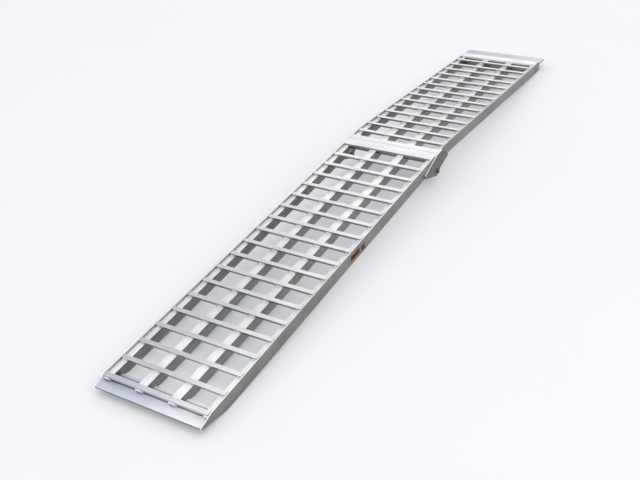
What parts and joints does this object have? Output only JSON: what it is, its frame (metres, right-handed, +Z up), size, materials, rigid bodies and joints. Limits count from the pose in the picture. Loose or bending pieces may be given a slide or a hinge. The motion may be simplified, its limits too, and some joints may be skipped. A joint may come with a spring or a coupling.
{
  "type": "folding motorcycle ramp",
  "caption": "Arched loading ramp that folds in half on a hinge below the deck, with hollow rungs on box rails, a bevelled toe and a flat lip plate that rests on the vehicle's bed.",
  "frame": {"origin": "centre of the footprint on the floor, with the ramp unfolded and standing on its toe heels and its top end", "axes": "+Y up the ramp from the toe to the lip plate, +X to the right across it, +Z up"},
  "size_m": [0.3254, 2.2538, 0.1001],
  "materials": {
    "mill_aluminium": "mill",
    "bright_aluminium": "bright mill",
    "tread_aluminium": "grooved mill",
    "zinc_steel": "zinc plated",
    "dark_steel": "black oxide",
    "nylon": "moulded"
  },
  "bodies": {
    "lower_section": {"lower_side_rail_left": "mill_aluminium", "lower_side_rail_right": "mill_aluminium", "lower_inner_rail_left": "mill_aluminium", "lower_inner_rail_right": "mill_aluminium", "lower_rung_01": "tread_aluminium", "lower_rung_02": "tread_aluminium", "lower_rung_03": "tread_aluminium", "lower_rung_04": "tread_aluminium", "lower_rung_05": "tread_aluminium", "lower_rung_06": "tread_aluminium", "lower_rung_07": "tread_aluminium", "lower_rung_08": "tread_aluminium", "lower_rung_09": "tread_aluminium", "lower_rung_10": "tread_aluminium", "lower_rung_11": "tread_aluminium", "lower_rung_12": "tread_aluminium", "lower_rung_13": "tread_aluminium", "lower_rung_14": "tread_aluminium", "lower_rung_15": "tread_aluminium", "lower_rung_16": "tread_aluminium", "lower_rung_17": "tread_aluminium", "lower_rung_18": "tread_aluminium", "toe_bar": "bright_aluminium", "lower_hinge_beam": "mill_aluminium", "lower_hinge_lug_left": "mill_aluminium", "lower_hinge_lug_right": "mill_aluminium"},
    "upper_section": {"upper_side_rail_left": "mill_aluminium", "upper_side_rail_right": "mill_aluminium", "upper_inner_rail_left": "mill_aluminium", "upper_inner_rail_right": "mill_aluminium", "upper_rung_01": "tread_aluminium", "upper_rung_02": "tread_aluminium", "upper_rung_03": "tread_aluminium", "upper_rung_04": "tread_aluminium", "upper_rung_05": "tread_aluminium", "upper_rung_06": "tread_aluminium", "upper_rung_07": "tread_aluminium", "upper_rung_08": "tread_aluminium", "upper_rung_09": "tread_aluminium", "upper_rung_10": "tread_aluminium", "upper_rung_11": "tread_aluminium", "upper_rung_12": "tread_aluminium", "upper_rung_13": "tread_aluminium", "upper_rung_14": "tread_aluminium", "upper_hinge_beam": "mill_aluminium", "top_end_beam": "mill_aluminium", "lip_backing_bar": "mill_aluminium", "lip_plate": "bright_aluminium", "hinge_cheek_left": "mill_aluminium", "hinge_cheek_right": "mill_aluminium", "upper_hinge_lug_left": "mill_aluminium", "upper_hinge_lug_right": "mill_aluminium", "pivot_bolt_left": "dark_steel", "pivot_bolt_right": "dark_steel", "pivot_washer_left": "nylon", "pivot_washer_right": "nylon", "pivot_nut_left": "zinc_steel", "pivot_nut_right": "zinc_steel"}
  },
  "joints": [
    {"name": "fold_hinge", "type": "hinge", "parent": "lower_section", "child": "upper_section", "pos_m": [0, 0.08667, 0.04102], "axis": [-1, 0, 0], "range_deg": [0, 175.5]}
  ]
}
